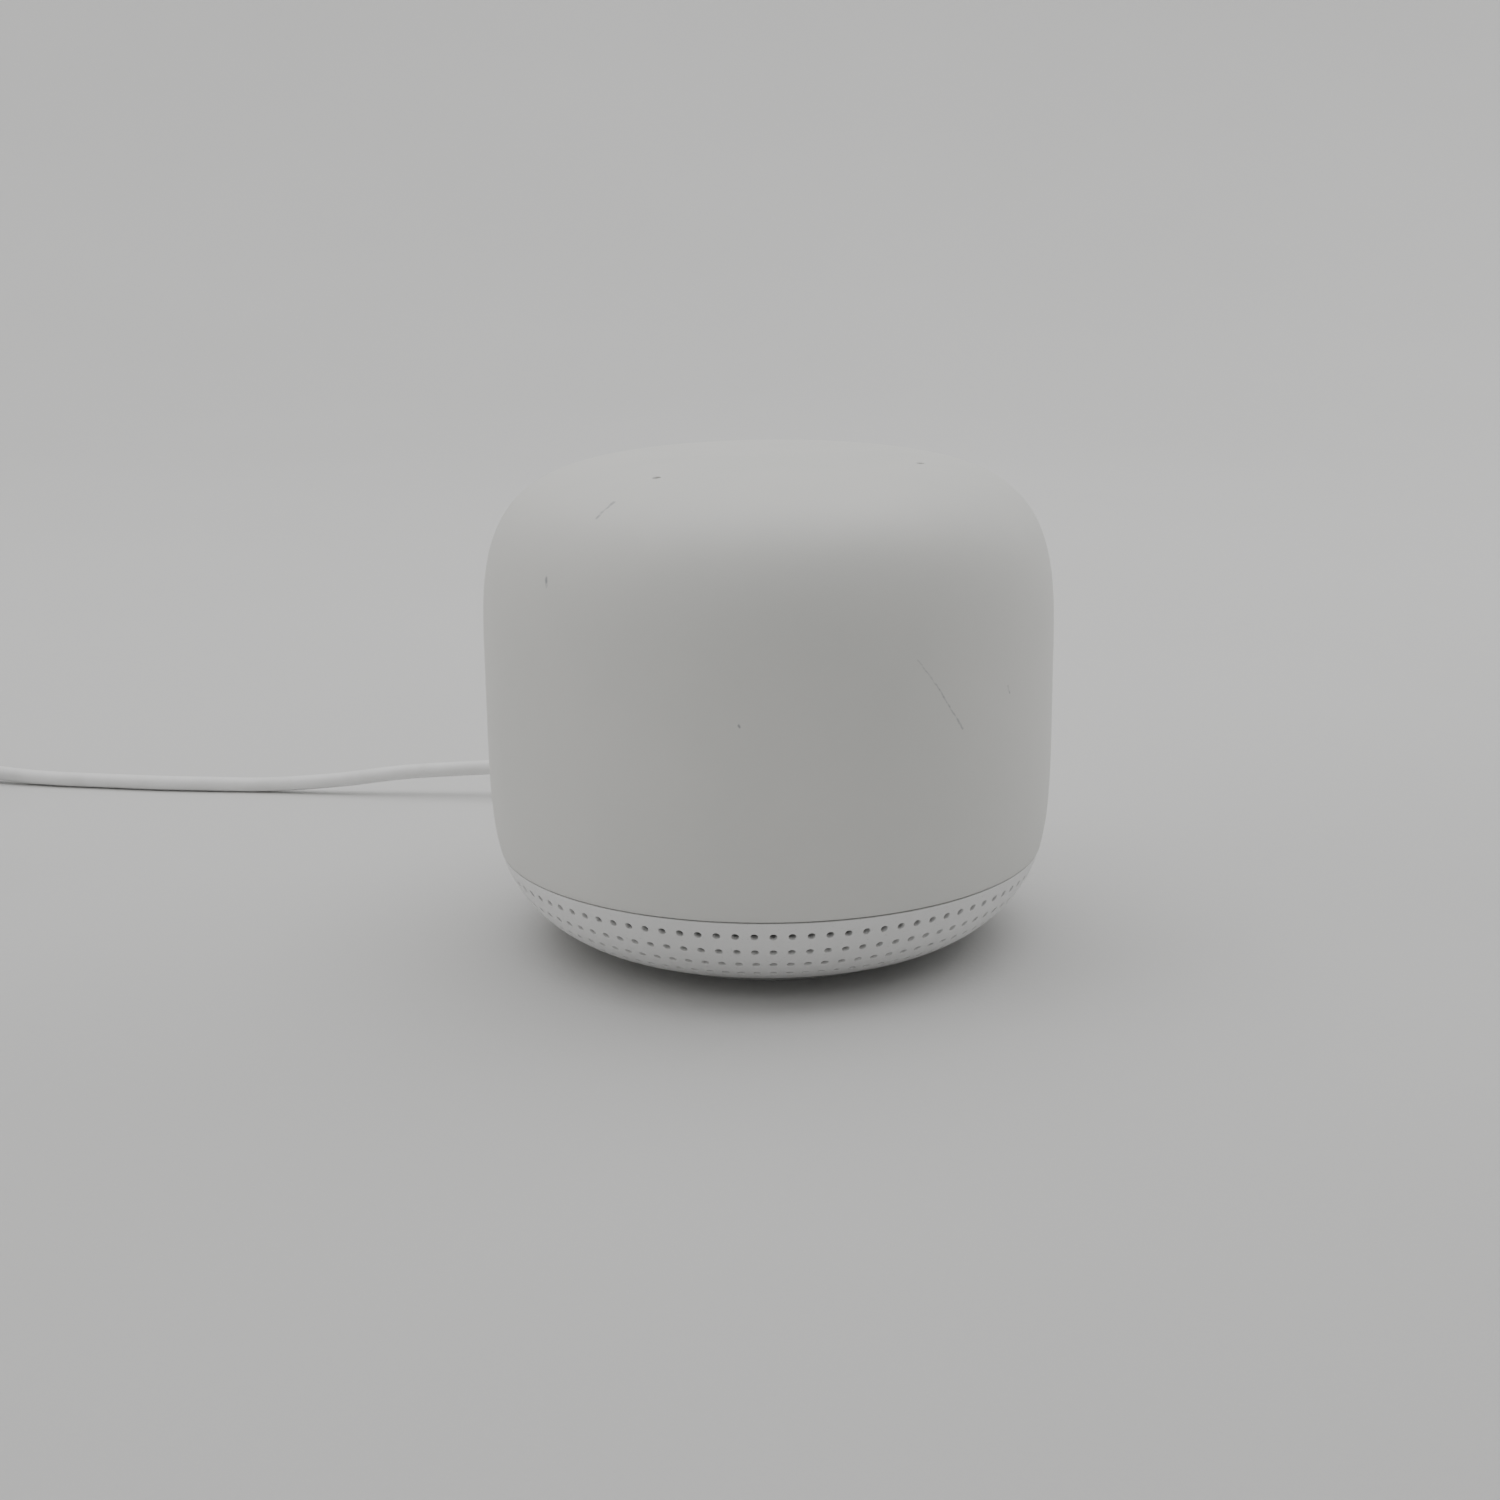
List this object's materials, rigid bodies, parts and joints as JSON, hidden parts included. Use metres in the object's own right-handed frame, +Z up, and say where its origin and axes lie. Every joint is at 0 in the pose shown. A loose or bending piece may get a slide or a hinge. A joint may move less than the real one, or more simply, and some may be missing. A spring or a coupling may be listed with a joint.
{
  "type": "wireless router",
  "caption": "Round-shouldered mesh Wi-Fi router with a perforated base, downward-firing speaker, mute switch, power lead and wall adapter",
  "frame": {"origin": "centre of the body's footprint, on the surface that it stands on", "axes": "+Z up; +Y out of the back, where the power jack and the microphone switch are; +X to the right seen from the front"},
  "size_m": [0.269, 0.2218, 0.0872],
  "materials": {
    "shell_white": "fine matte moulded",
    "base_white": "fine matte moulded",
    "foot_rubber": "soft matte",
    "light_diffuser": "frosted translucent",
    "circuit_board": "solder mask",
    "black_plastic": "fine matte",
    "plated_steel": "zinc plated",
    "heat_sink_aluminium": "cast",
    "coil_copper": "enamelled wire",
    "antenna_brass": "etched",
    "ferrite": "ground",
    "cone_paper": "pressed paper",
    "suspension_cloth": "treated cloth",
    "surround_rubber": "soft",
    "foam": "closed cell",
    "thermal_pad": "soft",
    "flex_cable": "polyimide film",
    "lead_white": "matte jacket",
    "adapter_white": "satin moulded",
    "contact_metal": "nickel plated"
  },
  "bodies": {
    "casing": {"top_shell": "shell_white", "base_grille": "base_white", "base_frame": "base_white", "bottom_plate": "base_white", "rubber_foot": "foot_rubber", "light_ring": "light_diffuser", "light_board": "circuit_board", "reset_switch": "black_plastic", "speaker_chamber": "black_plastic", "chamber_lid": "black_plastic", "speaker_gasket": "foam", "sound_deflector": "black_plastic", "speaker_basket": "plated_steel", "speaker_surround": "surround_rubber", "speaker_spider": "suspension_cloth", "front_plate": "plated_steel", "speaker_magnet": "ferrite", "pole_piece": "plated_steel", "heat_sink": "heat_sink_aluminium", "thermal_pad": "thermal_pad", "processor": "black_plastic", "main_board": "circuit_board", "shield_can_1": "plated_steel", "shield_can_2": "plated_steel", "antenna_carrier": "black_plastic", "touch_board": "circuit_board", "ribbon_cable": "flex_cable", "switch_board": "circuit_board", "mic_switch_body": "black_plastic", "antenna_1": "antenna_brass", "antenna_2": "antenna_brass", "antenna_3": "antenna_brass", "microphone_1": "plated_steel", "microphone_2": "plated_steel", "microphone_3": "plated_steel", "dc_jack": "black_plastic", "base_screw_1": "plated_steel", "base_screw_2": "plated_steel", "base_screw_3": "plated_steel", "base_screw_4": "plated_steel", "shell_screw_1": "plated_steel", "shell_screw_2": "plated_steel", "shell_screw_3": "plated_steel"},
    "mic_switch": {"mic_switch_slider": "shell_white"},
    "reset": {"reset_button": "foot_rubber"},
    "driver_moving_parts": {"speaker_cone": "cone_paper", "dust_cap": "cone_paper", "voice_coil": "coil_copper"},
    "power_lead": {"dc_plug_barrel": "contact_metal", "dc_plug_body": "lead_white", "plug_strain_relief": "lead_white", "power_cord": "lead_white", "cord_coil": "lead_white", "cord_tie": "black_plastic", "adapter_cord": "lead_white", "adapter_strain_relief": "lead_white", "adapter_body": "adapter_white", "adapter_cover": "adapter_white", "adapter_blade_1": "contact_metal", "adapter_blade_2": "contact_metal"}
  },
  "joints": [
    {"name": "mic_switch_slide", "type": "slide", "parent": "casing", "child": "mic_switch", "axis": [1, 0, 0], "range_m": [0, 0.003]},
    {"name": "reset_press", "type": "slide", "parent": "casing", "child": "reset", "axis": [0, 0, 1], "range_m": [0, 0.00035], "stiffness_N_per_m": 800},
    {"name": "driver_stroke", "type": "slide", "parent": "casing", "child": "driver_moving_parts", "axis": [0, 0, 1], "range_m": [-0.0012, 0.0012], "stiffness_N_per_m": 700, "deforming": ["speaker_surround", "speaker_spider"]},
    {"name": "plug_pull", "type": "slide", "parent": "casing", "child": "power_lead", "axis": [0, 1, 0], "range_m": [0, 0.011]}
  ]
}
